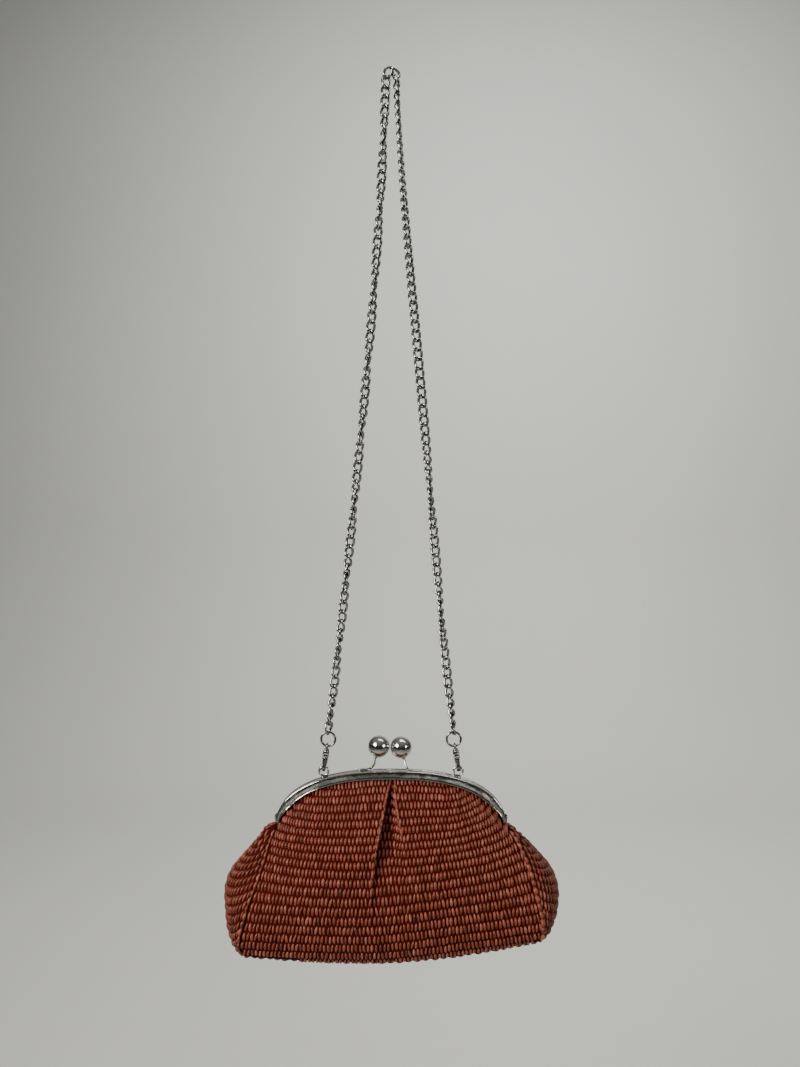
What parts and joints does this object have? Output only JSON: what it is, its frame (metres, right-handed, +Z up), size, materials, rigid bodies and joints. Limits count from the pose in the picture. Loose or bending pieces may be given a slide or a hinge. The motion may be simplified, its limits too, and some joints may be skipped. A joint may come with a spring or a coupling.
{
  "type": "raffia clutch bag on a chain",
  "caption": "Half-moon raffia clutch in a polished kiss-lock frame with two clasp balls, hanging by a curb chain clipped to its frame.",
  "frame": {"origin": "under the top of the chain, where the chain hangs", "axes": "+Z up along the hanging chain, +X to the right of someone facing the bag, +Y from the front panel to the back panel"},
  "size_m": [0.2845, 0.104, 0.7504],
  "materials": {
    "raffia": "satin",
    "gusset_raffia": "satin",
    "frame_metal": "polished",
    "fitting_metal": "polished",
    "chain_metal": "polished"
  },
  "bodies": {
    "root": {"raffia_front": "raffia", "raffia_back": "raffia", "raffia_gusset": "gusset_raffia", "frame_front": "frame_metal", "frame_back": "frame_metal", "clasp_ball_left": "frame_metal", "clasp_ball_right": "frame_metal", "hinge_rivet_left": "frame_metal", "hinge_rivet_right": "frame_metal", "jump_ring_left": "fitting_metal", "jump_ring_right": "fitting_metal", "snap_hook_left": "fitting_metal", "snap_hook_right": "fitting_metal", "swivel_eye_left": "fitting_metal", "swivel_eye_right": "fitting_metal", "chain": "chain_metal"},
    "gate_left": {"snap_gate_left": "fitting_metal"},
    "gate_right": {"snap_gate_right": "fitting_metal"}
  },
  "joints": [
    {"name": "gate_left_hinge", "type": "hinge", "parent": "root", "child": "gate_left", "pos_m": [-0.05638, -0.0018, -0.58511], "axis": [0.9871, 0, -0.16], "range_deg": [0, 40], "stiffness_Nm_per_rad": 0.004, "springref_deg": -22.92},
    {"name": "gate_right_hinge", "type": "hinge", "parent": "root", "child": "gate_right", "pos_m": [0.05638, -0.0018, -0.58511], "axis": [0.9871, 0, 0.16], "range_deg": [0, 40], "stiffness_Nm_per_rad": 0.004, "springref_deg": -22.92}
  ]
}
